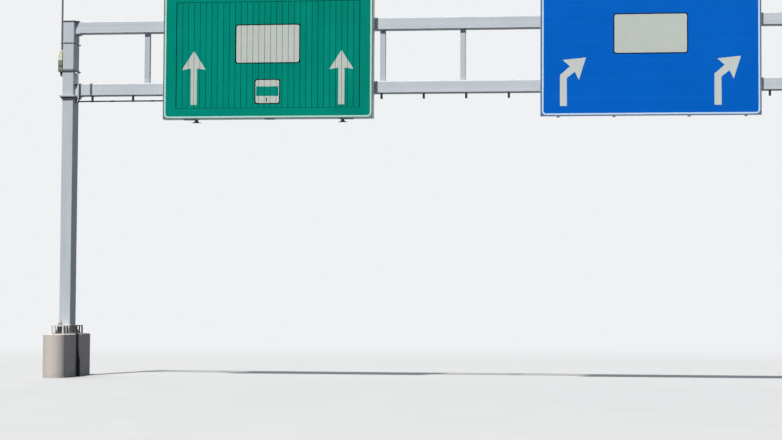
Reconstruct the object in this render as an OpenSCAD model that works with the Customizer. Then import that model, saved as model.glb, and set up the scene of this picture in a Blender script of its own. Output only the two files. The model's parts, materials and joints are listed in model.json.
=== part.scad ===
// Overhead sign gantry: a portal frame over a road, with a ladder beam of two chords and
// vertical posts, a rotating-prism direction sign and a flat lane sign.
// The origin is on the ground, midway between the two plinths. X runs along the beam,
// +Y points away from the approaching traffic and +Z points up.

/* [Portal frame] */
// Distance between the axes of the two columns
span = 16400; // [14600:10:18400]
// Number of equal bays between the columns
bay_count = 10; // [8:1:11]
// Height of the beam's underside above the ground
beam_underside = 5810; // [5400:10:6600]
// Distance from the underside of one chord to the underside of the other
chord_pitch = 1300; // [1100:10:1500]

/* [Chords and posts] */
// Height of a chord's box section
chord_h = 250; // [200:5:300]
// Depth of a chord's box section
chord_d = 220; // [180:5:260]
// Outer corner radius of a chord
chord_r = 18; // [8:1:28]
// Width of the square posts between the chords
post_w = 110; // [80:5:140]
// Outer corner radius of a post
post_r = 9; // [4:1:15]

/* [Columns] */
// Width of a column's box section, along the beam
col_w = 235; // [200:5:300]
// Depth of a column's box section, along the road
col_d = 410; // [340:10:450]
// Outer corner radius of a column
col_r = 20; // [8:1:30]
// Thickness of each flange plate in the bolted splice
flange_t = 25; // [16:1:40]
// How far a flange plate stands out past the column
flange_over = 50; // [35:5:80]
// How far the lower flange plate is set back under the upper one
flange_step = 17; // [5:1:25]
// Thickness of the cap plate and the haunch plates
cap_t = 12; // [8:1:20]
// How far the cap plate stands out past the column
cap_over = 8; // [4:1:20]
// Length of the haunch plates along the chord
haunch_l = 90; // [60:5:140]

/* [Plinths] */
// Width of a plinth, which is also the diameter of its round noses
plinth_w = 460; // [380:5:600]
// Length of a plinth along the road, over both noses
plinth_l = 2200; // [1800:10:2600]
// Height of a plinth above the ground
plinth_h = 880; // [600:10:1100]
// Chamfer along a plinth's top edge
plinth_chamfer = 15; // [5:1:30]
// Width of the chase down each flank
chase_w = 320; // [150:10:400]
// Depth of the chase
chase_d = 75; // [20:1:90]

/* [Anchor chairs] */
// Width of an anchor chair
chair_w = 258; // [210:2:320]
// Length of an anchor chair along the road
chair_l = 1390; // [1000:10:1600]
// Height of an anchor chair between plinth and column
chair_h = 175; // [120:5:260]
// Thickness of its foot plate and top plate
chair_plate_t = 20; // [12:1:30]
// Thickness of its middle web
chair_web_t = 20; // [12:1:30]
// Number of stiffeners along each edge
stiffener_count = 8; // [5:1:10]
// Width of a stiffener, measured in from the edge
stiffener_w = 30; // [25:5:60]
// Thickness of a stiffener
stiffener_t = 14; // [8:1:20]
// How far the stiffeners stand out past the top plate
stiffener_out = 22; // [5:1:24]

/* [Both signs] */
// Distance from the chords' front face to the front of the signs
sign_stand = 300; // [260:5:360]
// Thickness of the sheet that the signs are made of
sheet_t = 4; // [3:1:6]
// Wall of the rings that clamp the signs to the chords
clamp_t = 8; // [5:1:12]
// Width of the clamp rings
clamp_w = 70; // [40:5:120]

/* [Prism sign] */
// Middle of the prism sign, in spans from the middle of the beam
prism_sign_at = -0.2416; // [-0.2500:0.0001:-0.2350]
// Number of prisms
prism_count = 31; // [25:2:31]
// Distance between neighbouring prism axes
prism_pitch = 122; // [110:1:125]
// Gap between the faces of neighbouring prisms
prism_gap = 5; // [5:0.5:8]
// Length of a prism's sign faces
prism_len = 2172; // [1800:1:2300]
// How much each long edge of a prism is rounded off
edge_cut = 2; // [1:0.5:4]
// Free space between the turning prisms and the front frame
swing_gap = 6; // [5:1:12]
// How far the prisms' front faces sit behind the front of the boards
face_set = 5; // [3:1:10]
// Width of the fixed border to the left and right of the prisms
border_w = 265; // [180:5:300]
// Height of the fixed border above and below the prisms
border_h = 212; // [180:1:300]
// Depth of the folded lip round the window
lip_d = 15; // [8:1:16]
// Open seam between the boards of the sign's case and frame
seam = 0.3; // [0.2:0.1:1]
// Depth of the case
case_d = 240; // [200:5:250]
// Radius of the bearing pins that the prisms turn on
pin_r = 10; // [8:1:14]
// Radial play of a prism on its bearing pins
bearing_play = 0.06; // [0.03:0.01:0.1]
// How far a bearing pin reaches into a prism
pin_len = 45; // [30:5:60]
// Radius of the thrust collar at the root of each pin
collar_r = 18; // [15:1:20]
// Play of a prism between its two thrust collars
thrust_play = 0.3; // [0.2:0.1:0.5]
// Height of a bearing rail
rail_h = 60; // [55:5:90]
// Distance of each hanger from the middle of the sign, in spans
hanger_at = 0.0927; // [0.0880:0.0001:0.0980]
// Width of a hanger
hanger_w = 100; // [70:5:140]
// Corner radius of a hanger
hanger_r = 8; // [4:1:12]
// How far the foot of a hanger reaches below the sign
hanger_foot = 60; // [40:5:90]
// Width of the foot's base plate
foot_plate_w = 190; // [130:5:240]
// Length of the shelf under the case, outwards from a hanger
shelf_l = 184; // [80:2:240]

/* [Lane sign] */
// Middle of the lane sign, in spans from the middle of the beam
lane_sign_at = 0.2293; // [0.2230:0.0001:0.2310]
// Width of the lane sign
lane_sign_w = 4352; // [3900:2:4500]
// Height of the lane sign
lane_sign_h = 2608; // [2200:2:2800]
// Number of extruded planks that the panel is built of
plank_count = 7; // [5:1:9]
// Depth of a plank's rear flanges
plank_flange = 26; // [15:1:40]
// Distance of the inner rails from the middle of the sign, in spans
inner_rail_at = 0.0451; // [0.0420:0.0001:0.0480]
// Distance of the outer rails from the middle of the sign, in spans
outer_rail_at = 0.1127; // [0.1080:0.0001:0.1140]
// How far the group of rails sits to the right of the sign's middle
rail_shift = 25; // [0:1:30]
// Width and depth of a rail and of its arms
rail_w = 60; // [40:5:80]
// Corner radius of a rail
rail_r = 5; // [3:1:8]
// How far a rail reaches below the sign
rail_foot = 18; // [10:1:40]

/* [Cable run] */
// Outer diameter of the conduit under the beam
conduit_dia = 28; // [20:1:40]
// Distance from the lower chord's underside to the middle of the conduit
conduit_drop = 105; // [95:1:130]
// Bend radius of the conduit where it turns into the prism sign
conduit_bend = 60; // [40:5:90]
// Distance from the prism sign's left hanger to that turn
conduit_turn = 200; // [150:5:300]
// Distance between conduit hangers
conduit_pitch = 866; // [800:1:900]
// Distance from the left column's axis to the first conduit hanger
conduit_start = 471; // [400:1:600]
// Play of the conduit in its hangers
strap_play = 0.1; // [0.05:0.05:0.5]
// Thickness of a conduit hanger
strap_t = 4; // [3:1:6]
// Width of a conduit hanger
strap_w = 48; // [25:1:60]
// Outer diameter of the bypass loop beside the splice
loop_dia = 22; // [16:1:26]
// Distance of the loop from the column's side
loop_out = 88; // [86:1:100]
// Bend radius of the loop
loop_bend = 50; // [40:5:55]
// Length of the glands where the conduits enter the columns
gland_l = 30; // [20:5:40]

/* [Mast and equipment box] */
// Outer diameter of the mast beside the left column
mast_dia = 38; // [30:1:48]
// Height of the mast's tip above the beam
mast_rise = 850; // [500:10:1500]
// Width of the equipment box
box_w = 62; // [50:2:66]
// Depth of the equipment box
box_d = 160; // [120:5:240]
// Height of the equipment box
box_h = 428; // [350:1:600]
// Height of the upper band's middle above the lower chord's top
upper_band_z = 846; // [700:1:950]
// Height of the lower band's middle above the lower chord's top
lower_band_z = 275; // [150:1:300]
// Height of the upper band
upper_band_h = 22; // [15:1:40]
// Height of the lower band
lower_band_h = 56; // [40:1:90]
// Thickness of the upper band
band_t = 6; // [4:1:10]
// Thickness of the lower band, which the equipment box is bolted to
lower_band_t = 12; // [8:1:14]

/* [Hidden] */
$fn = 48;
eps = 1;

chord_len = span - col_w;
bay = span / bay_count;
lower_top = beam_underside + chord_h;
upper_bottom = beam_underside + chord_pitch;
beam_top = upper_bottom + chord_h;
beam_mid = (beam_underside + beam_top) / 2;
splice_z = beam_underside - flange_t;
chair_top = plinth_h + chair_h;

front_y = -(chord_d / 2 + sign_stand);
clamp_y = -(chord_d / 2 + clamp_t);

prism_sign_x = prism_sign_at * span;
hanger_off = hanger_at * span;
lane_sign_x = lane_sign_at * span;

prism_side = prism_pitch - prism_gap;
prism_in_r = prism_side / (2 * sqrt(3));
prism_out_r = prism_side / sqrt(3) - edge_cut;
axis_y = front_y + face_set + prism_in_r;
window_w = (prism_count - 1) * prism_pitch + 2 * (prism_out_r + swing_gap);
window_h = prism_len + 2 * swing_gap;
sign_w = window_w + 2 * border_w;
sign_h = window_h + 2 * border_h;
sign_bottom = beam_mid - sign_h / 2;
case_back_y = front_y + case_d;
rail_gap = 12;
rail_board_gap = 2;
rail_half_d = axis_y - front_y - sheet_t - rail_board_gap;
prism_bottom = beam_mid - prism_len / 2;

lane_bottom = beam_mid - lane_sign_h / 2;
lane_rail_y = front_y + sheet_t + plank_flange;
rail_offsets = [for (at = [-outer_rail_at, -inner_rail_at, inner_rail_at, outer_rail_at]) rail_shift + at * span];

conduit_z = beam_underside - conduit_drop;
conduit_count = floor((span - col_w - conduit_start) / conduit_pitch);
turn_x = prism_sign_x - hanger_off - conduit_turn;
left_x = -span / 2;
fit_gap = 0.3;
mast_x = left_x - col_w / 2 - cap_over - fit_gap - mast_dia / 2;
mast_y = -col_d / 2 + col_r + mast_dia / 2;
upper_z = lower_top + upper_band_z;
lower_z = lower_top + lower_band_z;
box_top = lower_z - lower_band_h / 2 + box_h;

prism_nodes = [for (i = [1 : prism_count]) str("prism_", i < 10 ? "0" : "", i)];

concrete = [0.78, 0.75, 0.70];
steel_paint = [0.72, 0.75, 0.77];
zinc = [0.60, 0.62, 0.64];
sign_green = [0.00, 0.52, 0.45];
sign_blue = [0.03, 0.33, 0.75];
dark_zinc = [0.30, 0.31, 0.34];
box_paint = [0.80, 0.83, 0.62];

// A block between two opposite corners
module block(low, high) {
    translate(low) cube(high - low);
}

// The outline of a box section with rounded corners
module section(w, d, r) {
    square([w - 2 * r, d], center = true);
    square([w, d - 2 * r], center = true);
    for (sx = [-1, 1], sy = [-1, 1])
        translate([sx * (w / 2 - r), sy * (d / 2 - r)]) circle(r);
}

// An upright box section from one height to another
module upright(w, d, r, z0, z1) {
    translate([0, 0, z0]) linear_extrude(z1 - z0) section(w, d, r);
}

// A copy on the left column's axis, or its mirror image on the right one
module at_column(side) {
    if (side < 0)
        translate([left_x, 0, 0]) children();
    else
        mirror([1, 0, 0]) translate([left_x, 0, 0]) children();
}

// Concrete plinth with a round nose at each end and a chamfered top
module plinth() {
    half = plinth_w / 2;
    nose_y = plinth_l / 2 - half;
    profile = [[0, 0], [half, 0], [half, plinth_h - plinth_chamfer], [half - plinth_chamfer, plinth_h], [0, plinth_h]];
    difference() {
        union() {
            for (s = [-1, 1]) translate([0, s * nose_y, 0]) rotate_extrude() polygon(profile);
            for (s = [0, 1]) mirror([s, 0, 0])
                translate([0, nose_y, 0]) rotate([90, 0, 0]) linear_extrude(2 * nose_y) polygon(profile);
        }
        for (s = [-1, 1]) translate([s * half, 0, plinth_h / 2])
            cube([2 * chase_d, chase_w, plinth_h + 2 * eps], center = true);
    }
}

module plinth_left() { color(concrete) at_column(-1) plinth(); }
module plinth_right() { color(concrete) at_column(1) plinth(); }

// Anchor chair: foot plate, middle web, a row of stiffeners along each edge, and a narrower
// top plate with a full-width bar at each end
module anchor_chair() {
    w = chair_w / 2;
    l = chair_l / 2;
    web_low = plinth_h + chair_plate_t;
    web_high = chair_top - chair_plate_t;
    pitch = (chair_l - stiffener_t) / (stiffener_count - 1);
    block([-w, -l, plinth_h], [w, l, web_low]);
    block([stiffener_out - w, -l, web_high], [w - stiffener_out, l, chair_top]);
    for (y = [-l, l - stiffener_t]) block([-w, y, web_high], [w, y + stiffener_t, chair_top]);
    block([-chair_web_t / 2, -l, web_low], [chair_web_t / 2, l, web_high]);
    for (i = [0 : stiffener_count - 1], s = [0, 1])
        mirror([s, 0, 0])
            block([w - stiffener_w, -l + i * pitch, web_low], [w, -l + i * pitch + stiffener_t, chair_top]);
}

module anchor_chair_left() { color(zinc) at_column(-1) anchor_chair(); }
module anchor_chair_right() { color(zinc) at_column(1) anchor_chair(); }

// Column shaft up to the lower plate of the bolted splice
module column() {
    upright(col_w, col_d, col_r, chair_top, splice_z - flange_t);
    over = 2 * (flange_over - flange_step);
    upright(col_w + over, col_d + over, col_r, splice_z - flange_t, splice_z);
}

module column_left() { color(steel_paint) at_column(-1) column(); }
module column_right() { color(steel_paint) at_column(1) column(); }

// Plate that widens from the chord to the column, seen from above
module haunch_plate(reach, half_d) {
    x0 = col_w / 2;
    x1 = x0 + haunch_l;
    polygon([[x0 - reach, -half_d], [x0, -half_d], [x1, -chord_d / 2],
             [x1, chord_d / 2], [x0, half_d], [x0 - reach, half_d]]);
}

// Head of a column, welded to the beam: splice plate, shaft, haunches and cap plate
module column_head() {
    over = 2 * flange_over;
    upright(col_w, col_d, col_r, splice_z, beam_top);
    upright(col_w + over, col_d + over, col_r, splice_z, splice_z + flange_t);
    translate([0, 0, splice_z]) linear_extrude(flange_t) haunch_plate(col_r, col_d / 2);
    for (z = [lower_top, upper_bottom - cap_t])
        translate([0, 0, z]) linear_extrude(cap_t) haunch_plate(col_r, col_d / 2 - col_r);
    translate([0, 0, beam_top]) linear_extrude(cap_t) union() {
        section(col_w + 2 * cap_over, col_d + 2 * cap_over, col_r + cap_over);
        haunch_plate(col_w, col_d / 2);
    }
}

module column_head_left() { color(steel_paint) at_column(-1) column_head(); }
module column_head_right() { color(steel_paint) at_column(1) column_head(); }

// One chord of the beam, between the two column heads
module chord(z0) {
    translate([-chord_len / 2, 0, z0 + chord_h / 2]) rotate([90, 0, 90])
        linear_extrude(chord_len) section(chord_d, chord_h, chord_r);
}

module lower_chord() { color(steel_paint) chord(beam_underside); }
module upper_chord() { color(steel_paint) chord(upper_bottom); }

// Square posts that tie the chords together
module beam_posts() {
    color(steel_paint)
    for (i = [1 : bay_count - 1]) translate([left_x + i * bay, 0, 0])
        upright(post_w, post_w, post_r, lower_top, upper_bottom);
}

// Ring of flat bar round a chord, bolted behind a sign's hanger or arm
module clamp_ring(x, z0) {
    w = chord_d / 2;
    difference() {
        block([x - clamp_w / 2, -w - clamp_t, z0 - clamp_t], [x + clamp_w / 2, w + clamp_t, z0 + chord_h + clamp_t]);
        block([x - clamp_w, -w, z0], [x + clamp_w, w, z0 + chord_h]);
    }
}

module beam_clamps() {
    color(zinc)
    for (z0 = [beam_underside, upper_bottom]) {
        for (s = [-1, 1]) clamp_ring(prism_sign_x + s * hanger_off, z0);
        for (dx = rail_offsets) clamp_ring(lane_sign_x + dx, z0);
    }
}

// Case of the prism sign: a back sheet and four walls, set edge to edge
module sign_case() {
    x0 = prism_sign_x - sign_w / 2;
    x1 = prism_sign_x + sign_w / 2;
    z1 = sign_bottom + sign_h;
    wall_y0 = front_y + sheet_t;
    wall_y1 = case_back_y - sheet_t - seam;
    color(zinc) {
        block([x0, case_back_y - sheet_t, sign_bottom], [x1, case_back_y, z1]);
        for (x = [x0, x1 - sheet_t]) block([x, wall_y0, sign_bottom], [x + sheet_t, wall_y1, z1]);
        for (z = [sign_bottom, z1 - sheet_t])
            block([x0 + sheet_t + seam, wall_y0, z], [x1 - sheet_t - seam, wall_y1, z + sheet_t]);
    }
}

// Front frame of the prism sign: four boards with a folded lip round the window
module sign_front_frame() {
    half_w = window_w / 2;
    low = sign_bottom + border_h;
    high = low + window_h;
    lip_y = front_y + lip_d;
    color(sign_green) translate([prism_sign_x, 0, 0]) {
        for (s = [0, 1]) mirror([s, 0, 0]) {
            block([half_w, front_y, low], [half_w + border_w, front_y + sheet_t, high]);
            block([half_w, front_y, low], [half_w + sheet_t, lip_y, high]);
        }
        block([-sign_w / 2, front_y, sign_bottom], [sign_w / 2, front_y + sheet_t, low - seam]);
        block([-half_w, front_y, low - seam - sheet_t], [half_w, lip_y, low - seam]);
        block([-sign_w / 2, front_y, high + seam], [sign_w / 2, front_y + sheet_t, sign_bottom + sign_h]);
        block([-half_w, front_y, high + seam], [half_w, lip_y, high + seam + sheet_t]);
    }
}

// Two hangers that carry the case on the chords, each on a flared foot with a base plate
module sign_hangers() {
    depth = clamp_y - case_back_y;
    neck = hanger_w / 5;
    flare = hanger_w * 0.55;
    plate_top = clamp_t - hanger_foot;
    half = foot_plate_w / 2;
    outline = [[-neck, 0], [-flare, plate_top], [-half, plate_top], [-half, -hanger_foot],
               [half, -hanger_foot], [half, plate_top], [flare, plate_top], [neck, 0]];
    color(zinc)
    for (s = [-1, 1]) translate([prism_sign_x + s * hanger_off, case_back_y + depth / 2, 0]) {
        upright(hanger_w, depth, hanger_r, sign_bottom, sign_bottom + sign_h);
        translate([0, depth / 2, sign_bottom]) rotate([90, 0, 0]) linear_extrude(depth) polygon(outline);
    }
}

// Shelves under the case, each with a rib that runs back to the hanger's foot
module sign_shelves() {
    shelf_y = front_y + sheet_t;
    shelf_z = sign_bottom - clamp_t;
    rib_z = sign_bottom - hanger_foot + 2 * clamp_t;
    inner = hanger_w / 2;
    color(zinc) translate([prism_sign_x, 0, 0])
    for (s = [0, 1]) mirror([s, 0, 0]) translate([hanger_off, 0, 0]) {
        block([-inner, shelf_y, shelf_z], [inner + shelf_l, case_back_y, sign_bottom]);
        translate([clamp_t / 2, 0, 0]) rotate([0, -90, 0]) linear_extrude(clamp_t)
            polygon([[shelf_z, shelf_y], [shelf_z, case_back_y], [rib_z, case_back_y]]);
    }
}

// Rail across the case with a fixed pin and a thrust collar for one end of every prism
module bearing_rail() {
    x = sign_w / 2 - sheet_t;
    collar_h = rail_gap - thrust_play;
    translate([-x, -rail_half_d, -rail_gap - rail_h]) cube([2 * x, 2 * rail_half_d, rail_h]);
    for (i = [0 : prism_count - 1]) translate([(i - (prism_count - 1) / 2) * prism_pitch, 0, -rail_gap - eps]) {
        cylinder(h = collar_h + eps, r = collar_r);
        cylinder(h = rail_gap + pin_len + eps, r = pin_r);
    }
}

module bearing_rail_bottom() {
    color(zinc) translate([prism_sign_x, axis_y, prism_bottom]) bearing_rail();
}

module bearing_rail_top() {
    color(zinc) translate([prism_sign_x, axis_y, prism_bottom + prism_len]) mirror([0, 0, 1]) bearing_rail();
}

// One prism: three sign faces, with a blind bore for the bearing pin in each end
module prism(i) {
    bore_l = pin_len + rail_gap;
    corners = [for (k = [0 : 2]) prism_side / sqrt(3) * [cos(90 + 120 * k), sin(90 + 120 * k)]];
    color(sign_green)
    translate([prism_sign_x + (i - (prism_count + 1) / 2) * prism_pitch, axis_y, prism_bottom]) difference() {
        linear_extrude(prism_len) intersection() {
            polygon(corners);
            circle(prism_out_r);
        }
        for (z = [-eps, prism_len - bore_l]) translate([0, 0, z]) cylinder(h = bore_l + eps, r = pin_r + bearing_play);
    }
}

// Flat lane sign, built of extruded planks with flanges along their rear edges
module lane_sign_panel() {
    half = lane_sign_w / 2;
    plank = lane_sign_h / plank_count;
    rib_y = lane_rail_y;
    color(sign_blue) translate([lane_sign_x, 0, lane_bottom]) {
        block([-half, front_y, 0], [half, front_y + sheet_t, lane_sign_h]);
        for (i = [0 : plank_count]) {
            z = max(0, min(lane_sign_h - sheet_t, i * plank - sheet_t / 2));
            block([-half, front_y, z], [half, rib_y, z + sheet_t]);
        }
        for (x = [-half, half - sheet_t]) block([x, front_y, 0], [x + sheet_t, rib_y, lane_sign_h]);
    }
}

// Upright rails behind the lane sign
module lane_sign_rails() {
    color(zinc)
    for (dx = rail_offsets) translate([lane_sign_x + dx, lane_rail_y + rail_w / 2, 0])
        upright(rail_w, rail_w, rail_r, lane_bottom - rail_foot, lane_bottom + lane_sign_h - rail_foot);
}

// Arms that hold the rails off the chords
module lane_sign_arms() {
    y0 = lane_rail_y + rail_w;
    color(zinc)
    for (dx = rail_offsets, z0 = [beam_underside, upper_bottom])
        translate([lane_sign_x + dx, y0, z0 + chord_h / 2]) rotate([-90, 0, 0])
            linear_extrude(clamp_y - y0) section(rail_w, rail_w, rail_r);
}

// Conduit under the lower chord, from the left column into the back of the prism sign
module cable_conduit() {
    start = left_x + col_w / 2;
    run = turn_x - conduit_bend - start;
    leg = -case_back_y - conduit_bend;
    color(dark_zinc) translate([start, 0, conduit_z]) {
        rotate([0, 90, 0]) cylinder(h = run, d = conduit_dia);
        rotate([0, 90, 0]) cylinder(h = gland_l, d = 1.7 * conduit_dia);
        translate([run, -conduit_bend, 0]) {
            rotate_extrude(angle = 90) translate([conduit_bend, 0]) circle(d = conduit_dia);
            translate([conduit_bend, 0, 0]) rotate([90, 0, 0]) cylinder(h = leg, d = conduit_dia);
            translate([conduit_bend, gland_l - leg, 0]) rotate([90, 0, 0]) cylinder(h = gland_l, d = 1.7 * conduit_dia);
        }
    }
}

// Strap right round the lower chord
module chord_strap(x) {
    w = chord_d / 2 + strap_t;
    difference() {
        block([x - strap_w / 2, -w, beam_underside - strap_t], [x + strap_w / 2, w, lower_top + strap_t]);
        block([x - strap_w, strap_t - w, beam_underside], [x + strap_w, w - strap_t, lower_top]);
    }
}

// Hanger under the lower chord: a stem and a clip, of which an unused one keeps only the upper half
module conduit_hanger(x, used) {
    r = conduit_dia / 2;
    half = strap_w / 2;
    translate([x, 0, 0]) difference() {
        union() {
            block([-half, -strap_t / 2, conduit_z], [half, strap_t / 2, beam_underside]);
            block([-half, -2 * r, beam_underside - strap_t], [half, 2 * r, beam_underside]);
            translate([-half, 0, conduit_z]) rotate([0, 90, 0]) cylinder(h = strap_w, r = r + strap_t);
        }
        translate([-strap_w, 0, conduit_z]) rotate([0, 90, 0]) cylinder(h = 2 * strap_w, r = r + strap_play);
        if (!used)
            block([-strap_w, -3 * r, conduit_z - 3 * r], [strap_w, 3 * r, conduit_z]);
    }
}

// Hangers for conduits under the lower chord, and the straps round its ends
module conduit_hangers() {
    last_used = turn_x - conduit_bend - strap_w;
    first_empty = turn_x + strap_w;
    end_strap = span / 2 - col_w / 2 - haunch_l - strap_w / 2 - eps;
    color(dark_zinc) {
        for (i = [0 : conduit_count]) {
            x = left_x + conduit_start + i * conduit_pitch;
            if (x < last_used || x > first_empty)
                conduit_hanger(x, x < last_used);
            if (i % conduit_count == 0)
                chord_strap(x);
        }
        for (s = [-1, 1]) chord_strap(s * end_strap);
    }
}

// Bypass loop that carries a cable round the splice of the left column
module cable_loop() {
    x0 = left_x + col_w / 2;
    y = -(chord_d / 2 + loop_dia * 1.4);
    z_high = lower_z - lower_band_h / 2 - loop_dia;
    z_low = splice_z - flange_t - gland_l - loop_bend;
    leg = loop_out - loop_bend;
    color(dark_zinc) translate([x0, y, 0]) {
        for (z = [z_low, z_high]) {
            translate([0, 0, z]) rotate([0, 90, 0]) cylinder(h = leg, d = loop_dia);
            translate([0, 0, z]) rotate([0, 90, 0]) cylinder(h = gland_l, d = 1.6 * loop_dia);
        }
        translate([loop_out, 0, z_low + loop_bend]) cylinder(h = z_high - z_low - 2 * loop_bend, d = loop_dia);
        translate([leg, 0, z_high - loop_bend]) rotate([90, 0, 0])
            rotate_extrude(angle = 90) translate([loop_bend, 0]) circle(d = loop_dia);
        translate([leg, 0, z_low + loop_bend]) rotate([90, 0, 0]) rotate([0, 0, -90])
            rotate_extrude(angle = 90) translate([loop_bend, 0]) circle(d = loop_dia);
    }
}

// Slim mast beside the left column, standing in the socket on the equipment box
module mast() {
    color(dark_zinc) translate([mast_x, mast_y, box_top]) cylinder(h = beam_top + mast_rise - box_top, d = mast_dia);
}

// A band round the left column, with the end of its clamping bolt at the rear corner
module band(z_mid, h, t) {
    bolt_r = 8;
    bolt_l = 28;
    translate([left_x, 0, 0]) {
        upright(col_w + 2 * t, col_d + 2 * t, col_r + t, z_mid - h / 2, z_mid + h / 2);
        translate([col_w / 2, col_d / 2 - col_r, z_mid]) rotate([0, 90, 0]) cylinder(h = t + bolt_l, r = bolt_r);
    }
}

// Bands that hold the mast and the equipment box
module mast_bands() {
    h = upper_band_h;
    color(dark_zinc) difference() {
        union() {
            band(upper_z, h, band_t);
            translate([mast_x, mast_y, upper_z - h / 2]) cylinder(h = h, d = mast_dia + 2 * band_t);
            band(lower_z, lower_band_h, lower_band_t);
        }
        translate([mast_x, mast_y, upper_z - h]) cylinder(h = 2 * h, d = mast_dia);
        translate([left_x, 0, 0]) upright(col_w, col_d, col_r, lower_z - lower_band_h, upper_z + h);
    }
}

// Equipment box bolted to the lower band, with a lid and a socket for the mast
module equipment_box() {
    x1 = left_x - col_w / 2;
    x0 = x1 - lower_band_t - box_w;
    y0 = -col_d / 2 + band_t;
    lid_h = 14;
    lid_over = 2;
    socket_h = 26;
    color(box_paint) difference() {
        union() {
            block([x0, y0, box_top - box_h], [x1 - lower_band_t, y0 + box_d, box_top]);
            block([x0 - lid_over, y0 - lid_over, box_top - lid_h], [x1, y0 + box_d + lid_over, box_top]);
            translate([mast_x, mast_y, box_top]) cylinder(h = socket_h, d = mast_dia + 2 * band_t);
        }
        translate([mast_x, mast_y, box_top]) cylinder(h = 2 * socket_h, d = mast_dia);
        block([x1, y0 - box_d, box_top - box_h], [x1 + col_w, y0 + 2 * box_d, box_top + 2 * socket_h]);
    }
}

plinth_left();
plinth_right();
anchor_chair_left();
anchor_chair_right();
column_left();
column_right();
column_head_left();
column_head_right();
lower_chord();
upper_chord();
beam_posts();
beam_clamps();
sign_case();
sign_front_frame();
sign_hangers();
sign_shelves();
bearing_rail_bottom();
bearing_rail_top();
lane_sign_panel();
lane_sign_rails();
lane_sign_arms();
cable_conduit();
conduit_hangers();
cable_loop();
mast();
mast_bands();
equipment_box();
for (i = [1 : prism_count]) prism(i);
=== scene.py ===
# Overhead sign gantry: the looks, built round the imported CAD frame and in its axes.
# Metres. X runs along the beam, -Y is the side that the traffic sees, +Z is up.

import json
import math
import random

import bmesh
import bpy
from mathutils import Matrix, Vector

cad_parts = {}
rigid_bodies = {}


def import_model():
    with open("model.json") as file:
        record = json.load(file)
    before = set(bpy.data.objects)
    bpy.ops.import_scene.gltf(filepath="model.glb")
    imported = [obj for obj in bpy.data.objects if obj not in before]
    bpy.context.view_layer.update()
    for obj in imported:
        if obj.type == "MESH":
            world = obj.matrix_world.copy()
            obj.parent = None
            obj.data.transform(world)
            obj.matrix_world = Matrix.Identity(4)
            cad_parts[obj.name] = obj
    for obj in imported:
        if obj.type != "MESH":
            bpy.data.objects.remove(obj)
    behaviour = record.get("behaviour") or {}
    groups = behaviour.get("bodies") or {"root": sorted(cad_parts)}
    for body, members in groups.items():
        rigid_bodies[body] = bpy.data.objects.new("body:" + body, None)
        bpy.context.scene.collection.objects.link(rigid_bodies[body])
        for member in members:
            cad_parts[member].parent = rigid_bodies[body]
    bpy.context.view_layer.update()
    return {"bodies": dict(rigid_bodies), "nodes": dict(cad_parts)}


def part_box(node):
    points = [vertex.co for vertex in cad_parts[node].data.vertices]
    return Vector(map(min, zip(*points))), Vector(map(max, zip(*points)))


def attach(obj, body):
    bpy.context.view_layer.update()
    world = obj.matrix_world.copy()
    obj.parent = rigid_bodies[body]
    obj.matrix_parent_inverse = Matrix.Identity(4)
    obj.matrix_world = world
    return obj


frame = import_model()
random.seed(41)  # chance only turns the bolts' hexagons
upward = Vector((0, 0, 1))
quarterTurn = math.pi / 2
prismCount = sum(1 for body in frame["bodies"] if body.startswith("prism_"))
plankCount = 7  # extruded planks in the lane sign
columnAt = sum(corner.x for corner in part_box("anchor_chair_right")) / 2  # from the middle to a column's axis


# camera, as the photograph was taken from the road 38 m in front of the beam
cameraLook = {
    "place": (3.18575, -37.94715, 1.32109),
    "forward": (-0.1213487, 0.99135573, 0.04988295),
    "roll": 0.3094,  # degrees
    "lens": 86.671, "sensor": 36.0,  # mm
    "sight": 400.0,  # how far it sees, in metres
}


def makeCamera(look):
    forward = Vector(look["forward"]).normalized()
    level = forward.cross(upward).normalized()
    raised = level.cross(forward)
    roll = math.radians(look["roll"])
    right = level * math.cos(roll) + raised * math.sin(roll)
    up = raised * math.cos(roll) - level * math.sin(roll)
    data = bpy.data.cameras.new("roadCamera")
    data.sensor_fit = "HORIZONTAL"
    data.sensor_width = look["sensor"]
    data.lens = look["lens"]
    data.clip_end = look["sight"]
    camera = bpy.data.objects.new("roadCamera", data)
    axes = Matrix((right, up, -forward)).transposed()
    camera.matrix_world = Matrix.Translation(look["place"]) @ axes.to_4x4()
    bpy.context.scene.collection.objects.link(camera)
    bpy.context.scene.camera = camera


makeCamera(cameraLook)
print("camera made")


# material tools
def toLinear(hexColour):
    parts = [int(hexColour[at:at + 2], 16) / 255 for at in (1, 3, 5)]
    return [p / 12.92 if p <= 0.04045 else ((p + 0.055) / 1.055) ** 2.4 for p in parts] + [1.0]


def perMetre(millimetres):
    return 1000.0 / millimetres


def addNode(tree, kind, settings=None, links=None):
    # a node with its settings and its links; what comes back are its outputs
    node = tree.nodes.new(kind)
    for name, value in (settings or {}).items():
        if isinstance(name, str) and hasattr(node, name):
            setattr(node, name, value)
        else:
            node.inputs[name].default_value = value
    for name, socket in (links or {}).items():
        tree.links.new(socket, node.inputs[name])
    return node.outputs


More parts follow.
